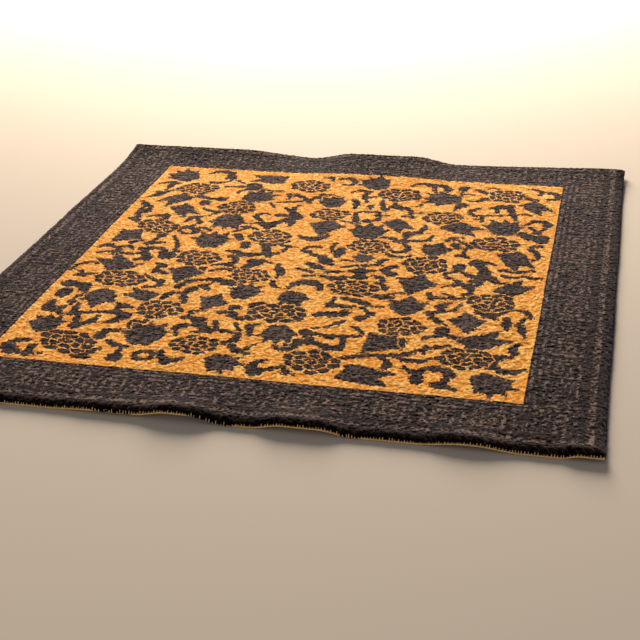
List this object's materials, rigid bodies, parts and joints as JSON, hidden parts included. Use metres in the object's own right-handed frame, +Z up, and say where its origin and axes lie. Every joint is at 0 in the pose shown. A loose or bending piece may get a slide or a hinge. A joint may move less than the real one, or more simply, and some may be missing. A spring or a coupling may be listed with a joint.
{
  "type": "pile carpet",
  "caption": "Rectangular hand-knotted pile carpet with a dark key-fret border and a golden field of peony scrolls, lying flat with gently lifted ends.",
  "frame": {"origin": "on the floor under the middle of the carpet", "axes": "+Z up, away from the floor; +Y from the near end to the far end, along the length; +X along the near end, to the right"},
  "size_m": [1.5, 1.556, 0.0343],
  "materials": {
    "pile": "cut pile, dark brown motifs and border on a golden field",
    "overcast": "twisted cotton cord, golden"
  },
  "bodies": {
    "root": {"carpet": "pile", "near_overcast": "overcast", "far_overcast": "overcast"}
  },
  "joints": []
}
